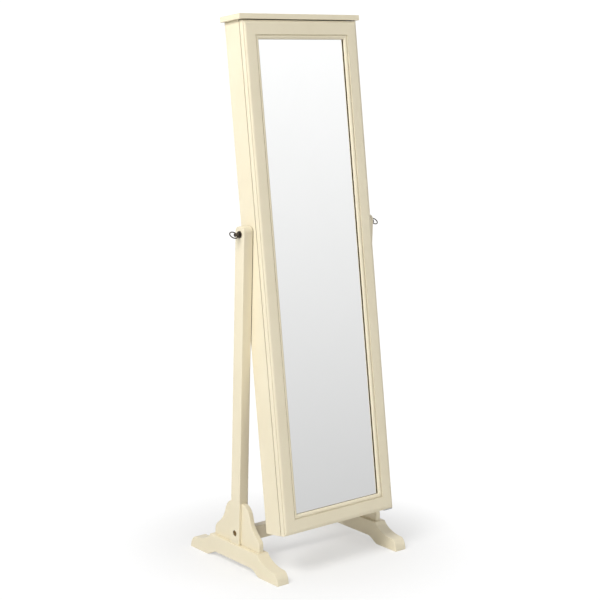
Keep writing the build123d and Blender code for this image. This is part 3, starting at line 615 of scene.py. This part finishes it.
def stage_floor():
    """Large pale floor; the camera sees a painted white glow on it, full away from the object and partial under
    it, which lightens its shadow.
    """
    bpy.ops.mesh.primitive_plane_add(size=FLOOR_SIZE, location=(0, 0, 0))
    floor = bpy.context.object
    floor.name = "studio_floor"
    material = bpy.data.materials.new("studio_floor")
    material.use_nodes = True
    tree = material.node_tree
    bsdf = tree.nodes["Principled BSDF"]
    bsdf.inputs["Base Color"].default_value = FLOOR_COLOUR
    bsdf.inputs["Roughness"].default_value = 0.6
    bsdf.inputs["Specular IOR Level"].default_value = 0.2
    coordinates = tree.nodes.new("ShaderNodeTexCoord")
    length = tree.nodes.new("ShaderNodeVectorMath")
    length.operation = "LENGTH"
    tree.links.new(coordinates.outputs["Object"], length.inputs[0])
    distance = length.outputs["Value"]
    glow_share = map_range(tree, distance, FLOOR_LEAST_GLOW, 1.0, *FLOOR_FADE, smooth=True)
    path = tree.nodes.new("ShaderNodeLightPath")
    seen = tree.nodes.new("ShaderNodeMath")
    seen.operation = "MULTIPLY"
    tree.links.new(glow_share, seen.inputs[0])
    tree.links.new(path.outputs["Is Camera Ray"], seen.inputs[1])
    # painted glow: camera-only white emission mixed into the floor by distance from the object
    glow = tree.nodes.new("ShaderNodeEmission")
    glow.inputs["Color"].default_value = (1, 1, 1, 1)
    glow.inputs["Strength"].default_value = BACKDROP_WHITE
    mix = tree.nodes.new("ShaderNodeMixShader")
    tree.links.new(seen.outputs["Value"], mix.inputs["Fac"])
    tree.links.new(bsdf.outputs["BSDF"], mix.inputs[1])
    tree.links.new(glow.outputs["Emission"], mix.inputs[2])
    tree.links.new(mix.outputs["Shader"], tree.nodes["Material Output"].inputs["Surface"])
    floor.data.materials.append(material)
    floor.visible_glossy = False


def studio_world():
    """White backdrop; reflections see it fall off towards the horizon, and its soft light is weaker."""
    world = bpy.data.worlds.new("studio")
    bpy.context.scene.world = world
    world.use_nodes = True
    tree = world.node_tree
    background = tree.nodes["Background"]
    background.inputs["Color"].default_value = (1, 1, 1, 1)
    coordinates = tree.nodes.new("ShaderNodeTexCoord")
    split = tree.nodes.new("ShaderNodeSeparateXYZ")
    tree.links.new(coordinates.outputs["Generated"], split.inputs[0])
    reflected = map_range(tree, split.outputs["Z"], WORLD_LOW, WORLD_HIGH, *WORLD_RISE)
    path = tree.nodes.new("ShaderNodeLightPath")
    strength = reflected
    for ray, value in (("Is Diffuse Ray", WORLD_AMBIENT), ("Is Camera Ray", BACKDROP_WHITE)):
        choice = tree.nodes.new("ShaderNodeMix")
        tree.links.new(path.outputs[ray], choice.inputs[0])
        tree.links.new(strength, choice.inputs[2])
        choice.inputs[3].default_value = value
        strength = choice.outputs[0]
    tree.links.new(strength, background.inputs["Strength"])


def area_light(name, place, target, size, power):
    """Round soft light that neither the camera nor reflections see."""
    data = bpy.data.lights.new(name, "AREA")
    data.shape = "DISK"
    data.size = size
    data.energy = power
    light = bpy.data.objects.new(name, data)
    bpy.context.scene.collection.objects.link(light)
    light.location = place
    direction = Vector(target) - Vector(place)
    light.rotation_euler = direction.to_track_quat("-Z", "Y").to_euler()
    light.visible_glossy = False
    light.visible_camera = False


def studio_lights():
    """Broad key from high on the viewer's left, a faint fill from the right and a low one at the feet."""
    centre = (cad_low + cad_high) / 2
    area_light("key_light", (-2.9, -0.7, 3.4), centre, 1.8, 132.0)
    area_light("fill_light", (1.6, -1.5, 1.3), centre, 1.0, 9.0)
    area_light("low_light", (-1.5, -1.9, 0.35), (0.1, 0.0, 0.1), 0.8, 5.0)


def photo_camera():
    """Camera at the photograph's place and angle."""
    yaw, pitch, roll = (math.radians(angle) for angle in CAMERA_TURN)
    level_forward = Vector((-math.sin(yaw), math.cos(yaw), 0))
    forward = math.cos(pitch) * level_forward + Vector((0, 0, math.sin(pitch)))
    level_right = Vector((math.cos(yaw), math.sin(yaw), 0))
    level_up = level_right.cross(forward)
    right = math.cos(roll) * level_right + math.sin(roll) * level_up
    up = math.cos(roll) * level_up - math.sin(roll) * level_right
    data = bpy.data.cameras.new("camera")
    data.lens = CAMERA_LENS
    data.sensor_width = CAMERA_SENSOR
    camera = bpy.data.objects.new("camera", data)
    bpy.context.scene.collection.objects.link(camera)
    turn = Matrix((right, up, -forward)).transposed().to_4x4()
    camera.matrix_world = Matrix.Translation(CAMERA_PLACE) @ turn
    bpy.context.scene.camera = camera


stage_floor()
studio_world()
studio_lights()
photo_camera()
bpy.context.scene.view_settings.view_transform = "Standard"
